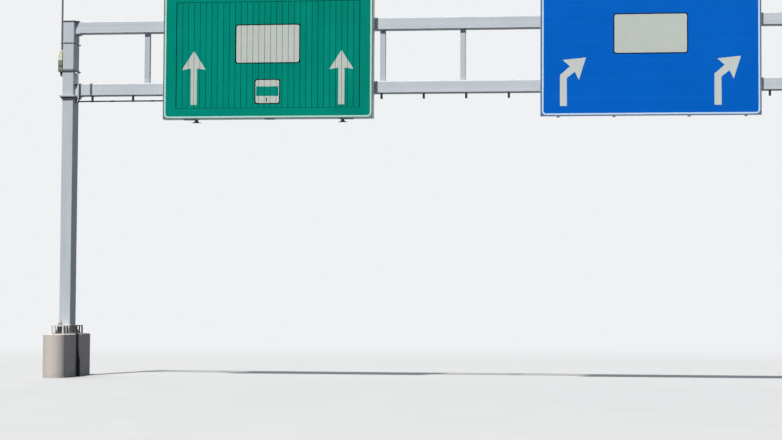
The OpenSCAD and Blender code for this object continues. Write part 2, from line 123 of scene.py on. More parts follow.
# What every finish starts from. Sizes are in mm, amounts from 0 to 1. brushStretch, poreApart and roughSize
# multiply the width of a brush line, the size of a pore and the size of a patch.
plainLook = {
    "colour": "#C0C0C0", "patch": "#B0B0B0", "patchSize": 400, "patchAmount": 0.5,
    "fleck": None, "fleckSize": 3, "fleckAmount": 0.3,
    "streak": None, "streakWidth": 30, "streakLength": 900, "streakAmount": 0.3, "streakFrom": 0.52,
    "streakSoft": 0.2, "streakWarp": 0.2,
    "dust": None, "dustAmount": 0.5,
    # under: painted shade on the faces that point down
    "under": None, "underAmount": 0.3,
    "foot": None, "footHeight": 200, "footAmount": 0.6, "splashSize": 90,
    # each place of painted shade and soot: span from a column's axis, span of Y, span of Z, amount;
    # paintedShadeAndSootSoft: fade along X, Y and Z
    "paintedShadeAndSoot": None, "paintedShadeAndSootPlaces": (), "paintedShadeAndSootSoft": (8, 3, 2),
    "edge": None, "edgeWidth": 4, "edgeAmount": 0.5, "wearSize": 14,
    "spangle": 0, "spangleAmount": 0.35, "spangleRough": 0.6,
    "brush": None, "brushWidth": 2, "brushStretch": 150, "brushAmount": 0.2, "brushRough": 0.5,
    "step": 0, "stepAmount": 0.1, "stepFrom": 0.0, "stepRough": 0.0,
    "cell": 0, "cellAmount": 0.12, "cellShade": "#CBCBCB", "cellDepth": 0.05,
    "pore": 0, "poreApart": 4, "poreShade": "#6E675E", "poreAmount": 0.6, "poreDepth": 2.0,
    "grain": 2, "grainDepth": 0.1, "wave": 0, "waveDepth": 0.0,
    "rough": (0.4, 0.6), "roughSize": 0.4, "metallic": 0.0, "coat": 0.0, "coatRough": 0.1, "specular": 0.5,
}
# The span of its pattern in which each effect comes in, and the amounts that it runs between if not 0 and 1.
spans = {
    "patch": (0.36, 0.64), "fleck": (0.56, 0.70), "cell": (0.02, 0.10, 1.0, 0.0),
    "upright": (0.35, 0.75, 1.0, 0.0), "lying": (0.3, 0.9), "settled": (0.25, 0.6, 0.4, 1.0),
    "paintedUndersideShade": (-0.3, -0.9), "splash": (0.3, 0.6, 0.3, 1.0), "bend": (0.985, 0.90), "wear": (0.45, 0.6),
    "hole": (0.10, 0.16, 1.0, 0.0), "sparse": (0.5, 0.62), "rough": (0.3, 0.7),
}


def makeFinish(name, changes):
    look = {**plainLook, **changes}
    finish = bpy.data.materials.new(name)
    finish.use_nodes = True
    tree = finish.node_tree
    shader = tree.nodes["Principled BSDF"]
    for socket, key in (("Metallic", "metallic"), ("Coat Weight", "coat"), ("Coat Roughness", "coatRough"),
                        ("Specular IOR Level", "specular")):
        shader.inputs[socket].default_value = look[key]
    coords = addNode(tree, "ShaderNodeTexCoord")
    place = coords["Object"]
    facing = addNode(tree, "ShaderNodeSeparateXYZ", links={0: coords["Normal"]})
    spot = addNode(tree, "ShaderNodeSeparateXYZ", links={0: place})

    def mask(*parts):
        # the product of some values, each brought from its span to 0..1 or to the two amounts given
        product = None
        for value, low, high, *ends in parts:
            least, most = ends or (0.0, 1.0)
            part = addNode(tree, "ShaderNodeMapRange",
                           {"From Min": low, "From Max": high, "To Min": least, "To Max": most},
                           {"Value": value})["Result"]
            if product:
                part = addNode(tree, "ShaderNodeMath", {"operation": "MULTIPLY"}, {0: product, 1: part})[0]
            product = part
        return product

    def lay(base, hexColour, amount, share, blend="MIX"):
        # a colour over the base: so much of it where the mask is 1
        share = addNode(tree, "ShaderNodeMath", {"operation": "MULTIPLY", 1: amount}, {0: share})[0]
        return addNode(tree, "ShaderNodeMix",
                       {"data_type": "RGBA", "blend_type": blend, 7: toLinear(hexColour)},
                       {0: share, 6: base})[2]

    # the noise behind each effect: size in mm, or one for each of X, Y and Z, then detail, roughness, warp
    brushed = [look["brushWidth"] * (look["brushStretch"] if axis == look["brush"] else 1) for axis in "XYZ"]
    drips = [look["streakWidth"], look["streakWidth"], look["streakLength"]]
    noise = {
        "patch": (look["patchSize"], 6.0, 0.6, 0), "fleck": (look["fleckSize"], 2.0, 0.6, 0),
        "rough": (look["patchSize"] * look["roughSize"], 5.0, 0.6, 0), "brush": (brushed, 2.0, 0.5, 0),
        "streak": (drips, 3.0, 0.5, look["streakWarp"]), "foot": (look["splashSize"], 6.0, 0.7, 0),
        "edge": (look["wearSize"], 5.0, 0.7, 0), "pore": (look["pore"] * look["poreApart"], 2.0, 0.6, 0),
        "grain": (look["grain"], 3.0, 0.6, 0), "wave": (look["wave"], 2.0, 0.4, 0),
    }
    for effect, (size, detail, rough, warp) in noise.items():
        if look[effect]:
            source, scale = place, 1.0
            if isinstance(size, list):
                source = addNode(tree, "ShaderNodeMapping", {"Scale": [perMetre(one) for one in size]},
                                 {"Vector": place})[0]
            else:
                scale = perMetre(size)
            settings = {"Scale": scale, "Detail": detail, "Roughness": rough, "Distortion": warp}
            noise[effect] = addNode(tree, "ShaderNodeTexNoise", settings, {"Vector": source})["Fac"]

    patched = addNode(tree, "ShaderNodeMath", {"operation": "MULTIPLY", 1: look["patchAmount"]},
                      {0: mask((noise["patch"], *spans["patch"]))})[0]
    colour = addNode(tree, "ShaderNodeMix",
                     {"data_type": "RGBA", 6: toLinear(look["colour"]), 7: toLinear(look["patch"])},
                     {0: patched})[2]
    roughness = noise["rough"]
    if look["fleck"]:
        colour = lay(colour, look["fleck"], look["fleckAmount"], mask((noise["fleck"], *spans["fleck"])))
    shades = {}
    if look["spangle"]:
        crystals = addNode(tree, "ShaderNodeTexVoronoi", {"Scale": perMetre(look["spangle"])},
                           {"Vector": place})["Color"]
        shades["spangle"] = addNode(tree, "ShaderNodeSeparateColor", links={0: crystals})[0]
    if look["brush"]:
        shades["brush"] = noise["brush"]
    if look["step"]:
        lane = spot[0]
        for operation, value in (("SUBTRACT", look["stepFrom"]), ("SNAP", look["step"] / 1000)):
            lane = addNode(tree, "ShaderNodeMath", {"operation": operation, 1: value}, {0: lane})[0]
        shades["step"] = addNode(tree, "ShaderNodeTexWhiteNoise", {"noise_dimensions": "1D"},
                                 {"W": lane})["Value"]
    for effect, shade in shades.items():
        colour = addNode(tree, "ShaderNodeMix",
                         {"data_type": "RGBA", "blend_type": "OVERLAY", 0: look[effect + "Amount"]},
                         {6: colour, 7: shade})[2]
        if look[effect + "Rough"]:
            roughness = addNode(tree, "ShaderNodeMix", {"data_type": "FLOAT", 0: look[effect + "Rough"]},
                                {2: roughness, 3: shade})[0]
    heights = []
    if look["cell"]:
        cells = addNode(tree, "ShaderNodeTexVoronoi",
                        {"feature": "DISTANCE_TO_EDGE", "Scale": perMetre(look["cell"]), "Randomness": 0.0},
                        {"Vector": place})["Distance"]
        walls = mask((cells, *spans["cell"]))
        colour = lay(colour, look["cellShade"], look["cellAmount"], walls, "MULTIPLY")
        heights.append((walls, look["cellDepth"]))
    steep = addNode(tree, "ShaderNodeMath", {"operation": "ABSOLUTE"}, {0: facing[2]})[0]
    layers = {
        "streak": [(noise["streak"], look["streakFrom"], look["streakFrom"] + look["streakSoft"]),
                   (steep, *spans["upright"])],
        "dust": [(facing[2], *spans["lying"]), (noise["patch"], *spans["settled"])],
        # painted shade on the faces that point down
        "under": [(facing[2], *spans["paintedUndersideShade"])],
        "foot": [(spot[2], 0.0, look["footHeight"] / 1000, 1.0, 0.0), (noise["foot"], *spans["splash"])],
    }
    for effect, parts in layers.items():
        if look[effect]:
            colour = lay(colour, look[effect], look[effect + "Amount"], mask(*parts))
    # darken the places listed: painted shade in recesses and under things, with some soot
    if look["paintedShadeAndSoot"]:
        away = spot[0]
        for operation, value in (("ABSOLUTE", 0.0), ("SUBTRACT", columnAt), ("ABSOLUTE", 0.0)):
            away = addNode(tree, "ShaderNodeMath", {"operation": operation, 1: value}, {0: away})[0]
        for nearest, furthest, front, rear, bottom, top, amount in look["paintedShadeAndSootPlaces"]:
            sides = (nearest, furthest), (front, rear), (bottom, top)
            walls = []
            for value, (low, high), soft in zip((away, spot[1], spot[2]), sides, look["paintedShadeAndSootSoft"]):
                walls.append((value, (low - soft) / 1000, low / 1000))
                walls.append((value, high / 1000, (high + soft) / 1000, 1.0, 0.0))
            colour = lay(colour, look["paintedShadeAndSoot"], amount, mask(*walls))
    if look["edge"]:
        soft = addNode(tree, "ShaderNodeBevel", {"samples": 4, "Radius": look["edgeWidth"] / 1000})[0]
        hard = addNode(tree, "ShaderNodeNewGeometry")["Normal"]
        bend = addNode(tree, "ShaderNodeVectorMath", {"operation": "DOT_PRODUCT"},
                       {0: soft, 1: hard})["Value"]
        worn = mask((bend, *spans["bend"]), (noise["edge"], *spans["wear"]))
        colour = lay(colour, look["edge"], look["edgeAmount"], worn)
    if look["pore"]:
        middles = addNode(tree, "ShaderNodeTexVoronoi", {"Scale": perMetre(look["pore"])},
                          {"Vector": place})["Distance"]
        holes = mask((middles, *spans["hole"]), (noise["pore"], *spans["sparse"]))
        colour = lay(colour, look["poreShade"], look["poreAmount"], holes)
        heights.append((mask((holes, 0.0, 1.0, 1.0, 0.0)), look["poreDepth"]))
    heights += [(noise[effect], look[effect + "Depth"]) for effect in ("grain", "wave") if look[effect]]
    normal = None
    for height, depth in heights:
        links = {"Height": height, "Normal": normal} if normal else {"Height": height}
        normal = addNode(tree, "ShaderNodeBump", {"Strength": 1.0, "Distance": depth / 1000}, links)[0]
    tree.links.new(normal, shader.inputs["Normal"])
    tree.links.new(colour, shader.inputs["Base Color"])
    tree.links.new(mask((roughness, *spans["rough"], *look["rough"])), shader.inputs["Roughness"])
    return finish


# Air-dried two-pack paint over galvanising: satin, chalked by weather, dusty on top, rolled lines along X, and
# painted shade on the undersides.
greyPaint = {
    "colour": "#C6CFD8", "patch": "#BBC5CE", "patchSize": 620, "fleck": "#B3BABF", "fleckSize": 9,
    "fleckAmount": 0.14, "streak": "#9CA3AA", "streakLength": 1400, "streakAmount": 0.10, "dust": "#B2AFA8",
    "under": "#6C7482", "underAmount": 0.5, "edge": "#A3A8AB", "edgeAmount": 0.35, "brush": "X",
    "brushWidth": 34, "grain": 2.5, "grainDepth": 0.12, "wave": 300, "waveDepth": 1.2,
    "rough": (0.42, 0.62), "specular": 0.4}
satinGreyPaint = makeFinish("satinGreyPaint", greyPaint)
# The same paint on the columns and posts: upright rain runs, painted shade on the undersides, and a dark band
# at the lower splice plate and at the cap that is painted shade with some soot.
rainedGreyPaint = makeFinish("rainedGreyPaint", {
    **greyPaint, "colour": "#C0C9D2", "patch": "#B7C1CA", "brush": "Z", "streakAmount": 0.22,
    "under": "#3E444F", "underAmount": 0.9, "paintedShadeAndSoot": "#26272B", "specular": 0.22,
    "paintedShadeAndSootPlaces": ((0, 400, -400, 400, 5752, 5784, 0.9), (0, 400, -400, 400, 7337, 7370, 0.8))})
# Hot-dip galvanised steel: dull zinc with crystals of 10 to 20 mm, white bloom in the runs.
galvanisedSteel = makeFinish("galvanisedSteel", {
    "colour": "#BCC1C3", "patch": "#A9AFB2", "patchSize": 160, "patchAmount": 0.6,
    "spangle": 16, "spangleAmount": 0.25, "streak": "#D5D7D6", "streakWidth": 14, "streakLength": 240,
    "streakAmount": 0.35, "dust": "#B5B0A6", "edge": "#84878A", "edgeWidth": 3, "edgeAmount": 0.4,
    "grain": 3, "grainDepth": 0.08, "rough": (0.42, 0.66), "metallic": 0.35})
# The same zinc on the anchor chairs, with painted shade in its sheltered middle and rear.
chairZinc = makeFinish("chairZinc", {
    "colour": "#D2D3D0", "patch": "#C2C3C1", "patchSize": 90, "spangle": 14, "spangleAmount": 0.15,
    "dust": "#C9C3B8", "edge": "#A9AAA8", "edgeWidth": 3, "edgeAmount": 0.3, "paintedShadeAndSoot": "#3C4144",
    "paintedShadeAndSootPlaces": ((0, 98, -900, 900, 800, 1034, 0.8), (0, 300, 160, 900, 800, 1200, 0.65)),
    "grain": 3, "grainDepth": 0.08, "rough": (0.45, 0.66), "metallic": 0.1})
# Galvanised steel that years of exhaust have turned dark.
sootyZinc = makeFinish("sootyZinc", {
    "colour": "#595E6C", "patch": "#4A4F5B", "patchSize": 90, "patchAmount": 0.6, "spangle": 12,
    "spangleAmount": 0.2, "streak": "#74767C", "streakWidth": 10, "streakLength": 200, "dust": "#85827C",
    "rough": (0.5, 0.75), "metallic": 0.3})
# The same zinc on the two bands, with painted shade along the lower edge of each.
bandZinc = makeFinish("bandZinc", {
    "colour": "#83878B", "patch": "#74787D", "patchSize": 90, "patchAmount": 0.6, "spangle": 12,
    "spangleAmount": 0.15, "rough": (0.5, 0.75), "metallic": 0.2, "paintedShadeAndSoot": "#1E2023",
    "paintedShadeAndSootPlaces": ((0, 400, -400, 400, 6290, 6332, 0.85), (0, 400, -400, 400, 6880, 6903, 0.7))})
# Painted steel tube of the mast: smooth, chalked to a brownish grey.
chalkedTube = makeFinish("chalkedTube", {
    "colour": "#6C6569", "patch": "#605A5E", "patchSize": 260, "patchAmount": 0.6, "streak": "#827C80",
    "streakWidth": 8, "streakLength": 500, "grain": 1.5, "grainDepth": 0.05, "rough": (0.5, 0.7)})
# Mill-finish aluminium sheet: rolled lines along X, dulled to a soft grey, with painted shade on the
# undersides.
millSheet = {
    "colour": "#A9ADAF", "patch": "#979B9F", "patchSize": 380, "brush": "X", "brushWidth": 5,
    "brushAmount": 0.18, "streak": "#83868A", "streakWidth": 22,
    "streakLength": 700, "streakAmount": 0.35, "dust": "#9E9A92", "dustAmount": 0.45,
    "under": "#6E7278", "underAmount": 0.5, "edge": "#C5C8CA", "edgeWidth": 3, "edgeAmount": 0.3,
    "grain": 4, "grainDepth": 0.05, "wave": 450, "waveDepth": 1.6, "rough": (0.38, 0.58), "metallic": 0.7}
millAluminium = makeFinish("millAluminium", millSheet)
# The same sheet as the case of the prism sign, with painted shade on the inside of its back, seen dark between
# the prisms.
caseAluminium = makeFinish("caseAluminium", {
    **millSheet, "paintedShadeAndSoot": "#191B1D", "paintedShadeAndSootPlaces": ((2084, 6392, -400, -174, 5287, 7883, 0.96),)})
# Green reflective sheeting over sheet metal: smooth film, prism cells drawn 24 mm wide to show at all.
filmLook = {
    "cell": 24, "cellAmount": 0.10, "streakWidth": 24, "streakLength": 1600, "streakAmount": 0.22,
    "grain": 6, "grainDepth": 0.02, "wave": 260, "waveDepth": 0.25, "rough": (0.36, 0.50), "specular": 0.04}
greenFilm = {
    **filmLook, "colour": "#00907F", "patch": "#008373", "patchSize": 1100, "patchAmount": 0.8,
    "streak": "#038071"}
greenSheeting = makeFinish("greenSheeting", greenFilm)
# The same film on the turning prisms, each one drawn a touch lighter or darker, a painted difference in how
# each takes the light.
prismSheeting = makeFinish("prismSheeting", {
    **greenFilm, "step": 122, "stepAmount": 0.05, "stepFrom": -4.02324})
# Green stoving enamel on the folded frame round the prisms.
greenEnamel = makeFinish("greenEnamel", {**greenFilm, "colour": "#0A7A6B", "patch": "#0C7164", "cell": 0})
# Blue reflective sheeting on the aluminium planks.
blueSheeting = makeFinish("blueSheeting", {
    **filmLook, "colour": "#0466CF", "patch": "#0360C4", "patchSize": 1000, "patchAmount": 0.6,
    "brush": "X", "brushWidth": 42, "brushAmount": 0.10, "streak": "#1060BC"})
# The rim of each sign, outside its white line, drawn greyer and darker than the film: partly painted shade of
# the sign's aluminium edge.
rimFilm = {**filmLook, "patchSize": 200, "edgeWidth": 3, "edgeAmount": 0.4}
greenRim = makeFinish("greenRim", {
    **rimFilm, "colour": "#6C8886", "patch": "#5F7C7B", "streak": "#7F9492", "edge": "#A9B3B0"})
blueRim = makeFinish("blueRim", {
    **rimFilm, "colour": "#56719A", "patch": "#4C6690", "streak": "#7488A4", "edge": "#A9B0B8"})
# White reflective sheeting: grey by daylight, as such film is, and a little yellowed.
whiteFilm = {
    **filmLook, "colour": "#C5CDC9", "patch": "#BEC6C2", "patchSize": 240, "patchAmount": 0.6,
    "streak": "#A9AEA6", "streakWidth": 16, "streakLength": 700, "streakAmount": 0.12, "specular": 0.2}
whiteSheeting = makeFinish("whiteSheeting", whiteFilm)
# The narrow white border lines are drawn lighter and cooler than the white film, as painted reflection of the
# sky, the one on blue most of all.
lineFilm = {**whiteFilm, "colour": "#C6E9E2", "patch": "#BEE1DA", "cellAmount": 0.08, "streak": "#B8C6C4"}
lineSheeting = makeFinish("lineSheeting", lineFilm)
coolLineSheeting = makeFinish("coolLineSheeting", {
    **lineFilm, "colour": "#CBE3FA", "patch": "#C2DBF3", "streak": "#BAC6D6"})
# The arrows on blue are newer than the panels, and whiter.
arrowSheeting = makeFinish("arrowSheeting", {**lineFilm, "colour": "#CCD4D3", "patch": "#C4CDCC"})
# Nearly black film round the panels.
darkFilm = {**filmLook, "patchSize": 160, "cell": 0}
darkSheeting = makeFinish("darkSheeting", {
    **darkFilm, "colour": "#0B2521", "patch": "#123029", "streak": "#27403B"})
darkBlueSheeting = makeFinish("darkBlueSheeting", {
    **darkFilm, "colour": "#0D1B38", "patch": "#122343", "streak": "#2A3853"})
# Cast concrete from a smooth steel form: cement skin, blow holes about 10 mm across, drips, a splashed foot.
castConcrete = makeFinish("castConcrete", {
    "colour": "#D2CBC5", "patch": "#CAC3BC", "patchSize": 430, "patchAmount": 0.6,
    "fleck": "#B5AFA8", "fleckSize": 5, "fleckAmount": 0.2, "streak": "#B7B1AA", "streakWidth": 90,
    "streakLength": 800, "streakAmount": 0.16, "dust": "#C6BEB3", "dustAmount": 0.35,
    "foot": "#ADA599", "footHeight": 150, "footAmount": 0.4, "edge": "#E3DDD6", "edgeWidth": 12,
    # the two places darken the chase in the plinth's flank as painted shade, most of all near its rear wall
    "edgeAmount": 0.7, "paintedShadeAndSoot": "#434547",
    "paintedShadeAndSootPlaces": ((100, 400, -163, 140, -10, 874, 0.55), (100, 400, 146, 163, -10, 874, 0.95)),
    "pore": 42, "grain": 3, "grainDepth": 0.3, "wave": 160, "waveDepth": 0.8,
    "rough": (0.78, 0.95), "specular": 0.3})
# Extruded black-blue polyethylene conduit, faded and dusty on top.
darkConduit = makeFinish("darkConduit", {
    "colour": "#10162B", "patch": "#171D33", "patchSize": 120, "dust": "#3C3F4A", "dustAmount": 0.4,
    "grain": 4, "rough": (0.42, 0.6), "specular": 0.3})
# Pale grey rigid PVC conduit, slightly yellowed.
paleConduit = makeFinish("paleConduit", {
    "colour": "#D6D9D8", "patch": "#CACDCC", "patchSize": 90, "streak": "#A5A6A4", "streakWidth": 8,
    "streakLength": 200, "grain": 3, "grainDepth": 0.05, "rough": (0.38, 0.55)})
# Powder coat on a steel cabinet: fine orange peel, pale greenish yellow, dust on its lid.
boxPowderCoat = makeFinish("boxPowderCoat", {
    "colour": "#E0E2CA", "patch": "#D4D6BE", "patchSize": 110, "streak": "#A3A68C", "streakWidth": 9,
    "streakLength": 240, "streakAmount": 0.4, "dust": "#A8A48F", "dustAmount": 0.6,
    "edge": "#8C8F7C", "edgeWidth": 2, "edgeAmount": 0.6, "grain": 1.6, "grainDepth": 0.12,
    "rough": (0.35, 0.5)})
# Grey-green glass of the two meter windows on the cabinet, drawn as an opaque pane with a clear coat; its tone
# is that of the windows in shade, so partly painted shade.
meterGlass = makeFinish("meterGlass", {
    "colour": "#7C8A7B", "patch": "#6C796C", "patchSize": 30, "streak": "#97A093", "streakWidth": 5,
    "streakLength": 60, "grain": 2, "grainDepth": 0.03, "rough": (0.15, 0.3), "coat": 0.5})
# Dark olive on the frame round those windows, over the lower half of the box front: painted shadow, as that
# half lay in shade.
boxPaintedShadow = makeFinish("boxPaintedShadow", {
    "colour": "#555B4C", "patch": "#4B5043", "patchSize": 60, "streak": "#7C8068", "streakWidth": 7,
    "streakLength": 120, "grain": 1.6, "rough": (0.4, 0.55)})
# Zinc-plated bolts gone dull, with a first brown bloom.
dullBolt = makeFinish("dullBolt", {
    "colour": "#A2A4A4", "patch": "#8E8982", "patchSize": 30, "patchAmount": 0.8, "fleck": "#7D5B41",
    "fleckSize": 6, "grain": 1.5, "grainDepth": 0.05, "rough": (0.4, 0.65), "metallic": 0.5})
# Black EPDM rubber and nylon: gaskets, glands and caps, greyed by sun.
greyedRubber = makeFinish("greyedRubber", {
    "colour": "#262628", "patch": "#343435", "patchSize": 40, "dust": "#6A6862", "dustAmount": 0.4,
    "grain": 1.5, "grainDepth": 0.08, "rough": (0.6, 0.8), "specular": 0.3})
# Weld metal under the same paint as the steel: its ripples are 6 mm apart.
paintedWeld = makeFinish("paintedWeld", {
    "colour": "#C3CBD1", "patch": "#B1B9BF", "patchSize": 60, "streak": "#9BA0A3", "streakWidth": 12,
    "streakLength": 120, "grain": 6, "grainDepth": 0.9, "rough": (0.42, 0.62), "specular": 0.4})
print("finishes made:", len(bpy.data.materials))

nodeFinish = {
    "plinth": castConcrete, "anchor_chair": chairZinc, "column": rainedGreyPaint,
    "lower_chord": satinGreyPaint, "upper_chord": satinGreyPaint, "beam_posts": rainedGreyPaint,
    "beam_clamps": galvanisedSteel, "sign_case": caseAluminium, "sign_front_frame": greenEnamel,
    "sign_hangers": sootyZinc, "sign_shelves": sootyZinc, "bearing_rail": sootyZinc,
    "lane_sign_panel": millAluminium, "lane_sign_rails": galvanisedSteel, "lane_sign_arms": galvanisedSteel,
    "cable_conduit": darkConduit, "conduit_hangers": sootyZinc, "cable_loop": paleConduit,
    "mast": chalkedTube, "mast_bands": bandZinc, "equipment_box": boxPowderCoat, "prism": prismSheeting,
}
for nodeName, node in frame["nodes"].items():
    key = max((k for k in nodeFinish if nodeName.startswith(k)), key=len)
    node.data.materials.clear()
    node.data.materials.append(nodeFinish[key])
print("CAD nodes finished:", len(frame["nodes"]))


# modelling tools
creaseAngle = math.radians(40)  # edges sharper than this stay crisp


def turnedAt(x, y, z, turn, axis="X"):
    return Matrix.Translation((x, y, z)) @ Matrix.Rotation(turn, 4, axis)


def makePiece(bm, name, finishes, body="gantry"):
    bmesh.ops.recalc_face_normals(bm, faces=bm.faces)
    mesh = bpy.data.meshes.new(name)
    bm.to_mesh(mesh)
    bm.free()
    for finish in finishes:
        mesh.materials.append(finish)
    mesh.shade_smooth()
    mesh.set_sharp_from_angle(angle=creaseAngle)
    piece = bpy.data.objects.new(name, mesh)
    bpy.context.scene.collection.objects.link(piece)
    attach(piece, body)


def addBlock(bm, low, high, edge, steps=1):
    made = bmesh.ops.create_cube(bm, size=1.0)["verts"]
    bmesh.ops.scale(bm, vec=[b - a for a, b in zip(low, high)], verts=made)
    bmesh.ops.translate(bm, vec=[(a + b) / 2 for a, b in zip(low, high)], verts=made)
    edges = list({e for v in made for e in v.link_edges})
    bmesh.ops.bevel(bm, geom=edges, offset=edge, offset_type="OFFSET", segments=steps, profile=0.5,
                    affect="EDGES", material=-1, clamp_overlap=True)


def addRod(bm, start, end, radius, sides=16, tip=None):
    start, end = Vector(start), Vector(end)
    turn = upward.rotation_difference(end - start).to_matrix().to_4x4()
    return bmesh.ops.create_cone(bm, cap_ends=True, cap_tris=False, segments=sides, radius1=radius,
                                 radius2=radius if tip is None else tip, depth=(end - start).length,
                                 matrix=Matrix.Translation((start + end) / 2) @ turn)["verts"]


# a bolt in parts of its size: the radius at its foot and top, and the height
boltShape = {"washer": (1.05, 1.05, 0.16), "hexagon": (0.92, 0.90, 0.72), "thread": (0.5, 0.44)}


def addBolt(bm, seat, towards, size, stub=0.6):
    # washer, hexagon and thread end, some thirty faces in all; the stub of thread is in parts of the size too
    seat, towards = Vector(seat), Vector(towards)
    foot, top, tall = boltShape["washer"]
    first = seat + towards * size * tall
    addRod(bm, seat, first, size * foot, 10, size * top)
    foot, top, tall = boltShape["hexagon"]
    second = first + towards * size * tall
    hexagon = addRod(bm, first, second, size * foot, 6, size * top)
    turn = Matrix.Rotation(random.uniform(0, math.tau / 6), 3, towards)
    bmesh.ops.rotate(bm, cent=first, matrix=turn, verts=hexagon)
    if stub:
        foot, top = boltShape["thread"]
        addRod(bm, second, second + towards * size * stub, size * foot, 8, size * top)


def pourInto(bm, part):
    held = bpy.data.meshes.new("held")
    part.to_mesh(held)
    part.free()
    bm.from_mesh(held)
    bpy.data.meshes.remove(held)


def addTurned(bm, profile, place, sides=20):
    # a lathe shape: (radius, height) points spun round the local Z axis
    part = bmesh.new()
    points = [part.verts.new((radius, 0, height)) for radius, height in profile]
    edges = [part.edges.new(pair) for pair in zip(points, points[1:])]
    bmesh.ops.spin(part, geom=points + edges, cent=(0, 0, 0), axis=upward, angle=math.tau, steps=sides,
                   use_merge=True)
    bmesh.ops.remove_doubles(part, verts=part.verts, dist=1e-6)
    bmesh.ops.transform(part, matrix=place, verts=part.verts)
    pourInto(bm, part)


# the hollow curve of a fillet weld, each step in parts of its leg: how far out from the section, how far up
weldCurve = ((0.78, 0.38), (0.40, 0.78), (-0.1, 1.0))


def addWeldRing(bm, halfX, halfY, corner, leg, place, steps=5):
    # fillet weld round a rounded section: one rounded face drawn up and in, step by step
    part = bmesh.new()
    bmesh.ops.create_grid(part, x_segments=1, y_segments=1, size=1.0)
    bmesh.ops.scale(part, vec=(halfX + leg, halfY + leg, 1), verts=part.verts)
    bmesh.ops.bevel(part, geom=part.verts[:], offset=corner + leg, offset_type="OFFSET", segments=steps,
                    profile=0.5, affect="VERTICES", material=-1)
    face = part.faces[:]
    outer = 1.0
    for reach, rise in weldCurve:
        made = bmesh.ops.extrude_face_region(part, geom=face)["geom"]
        face = [g for g in made if isinstance(g, bmesh.types.BMFace)]
        ring = face[0].verts[:]
        shrink = [(half + leg * reach) / (half + leg * outer) for half in (halfX, halfY)]
        bmesh.ops.scale(part, vec=(*shrink, 1), verts=ring)
        bmesh.ops.translate(part, vec=(0, 0, leg * rise - ring[0].co.z), verts=ring)
        outer = reach
    bmesh.ops.transform(part, matrix=place, verts=part.verts)
    pourInto(bm, part)


# sheeting and artwork of both signs
filmDepth = 0.0004  # a little thicker than life
film = {
    "proud": 0.9,  # the part of its depth that stands out of the board under it
    "rim": 0.003, "rimWidth": 0.040, "border": 0.024,
    "arrowRounding": (0.006, 2), "panelRounding": (0.052, 5),
}


def rectangle(low, high):
    return [(low[0], low[1]), (high[0], low[1]), (high[0], high[1]), (low[0], high[1])]


def addFlat(bm, points, front, depth=filmDepth, finish=0, rounding=None, cuts=(), width=0.0):
    # a sheet shape in the plane of the sign: (x, z) points, rounded by a radius in so many steps,
    # hollowed to a line of the given width, cut by upright or level planes, then given its depth
    sheet = bmesh.new()
    around = [sheet.verts.new((x, 0, z)) for x, z in points]
    sheet.faces.new(around)
    if rounding:
        radius, steps = rounding
        bmesh.ops.bevel(sheet, geom=around, offset=radius, offset_type="OFFSET", segments=steps,
                        profile=0.5, affect="VERTICES", material=-1)
    if width:
        sheet.normal_update()
        middle = sheet.faces[:]
        bmesh.ops.inset_region(sheet, faces=middle, thickness=width, use_even_offset=True, use_boundary=True)
        bmesh.ops.delete(sheet, geom=middle, context="FACES")
    for at, outward in cuts:
        bmesh.ops.bisect_plane(sheet, geom=sheet.verts[:] + sheet.edges[:] + sheet.faces[:], dist=1e-6,
                               plane_co=at, plane_no=outward, clear_outer=True)
    if sheet.faces:
        made = bmesh.ops.extrude_face_region(sheet, geom=sheet.faces[:])["geom"]
        rear = [g for g in made if isinstance(g, bmesh.types.BMVert)]
        bmesh.ops.translate(sheet, vec=(0, depth, 0), verts=rear)
        bmesh.ops.translate(sheet, vec=(0, front, 0), verts=sheet.verts)
        for face in sheet.faces:
            face.material_index = finish
    pourInto(bm, sheet)


def addPanel(bm, low, high, front, cuts):
    # a bare panel: finish 0 inside a dark border of finish 1
    rim = film["border"]
    radius, steps = film["panelRounding"]
    addFlat(bm, rectangle(low, high), front, finish=1, rounding=(radius, steps), cuts=cuts)
    inner = rectangle((low[0] + rim, low[1] + rim), (high[0] - rim, high[1] - rim))
    addFlat(bm, inner, front - filmDepth / 2, filmDepth / 2, rounding=(radius - rim / 2, steps), cuts=cuts)


# where the CAD has things
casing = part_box("sign_front_frame")
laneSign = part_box("lane_sign_panel")
lower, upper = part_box("lower_chord"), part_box("upper_chord")


# artwork of the prism sign: arrows, a bare panel and a road mark, cut at every prism
prismArt = {
    "flat": 0.0575,  # half width of a prism's face that the film covers
    "arrowHead": (0.252, 0.391), "arrowBarb": 0.360, "arrowShaft": 0.063, "arrowLength": 1.108,
    "arrowTips": ((-5.489, 6.676), (-2.439, 6.664)),
    "panel": ((-4.633, 6.403), (-3.287, 7.214)), "mark": ((-4.228, 5.572), (-3.694, 6.090)),
    "markBand": ((-4.192, 5.739), (-3.730, 5.935)), "markBar": ((-3.984, 5.618), (-3.964, 5.706)),
}


def arrowPoints(x, z, art):
    wide, head = art["arrowHead"]
    shaft, barb, foot = art["arrowShaft"], art["arrowBarb"], art["arrowLength"]
    return [(x, z), (x - wide, z - head), (x - shaft, z - barb), (x - shaft, z - foot),
            (x + shaft, z - foot), (x + shaft, z - barb), (x + wide, z - head)]


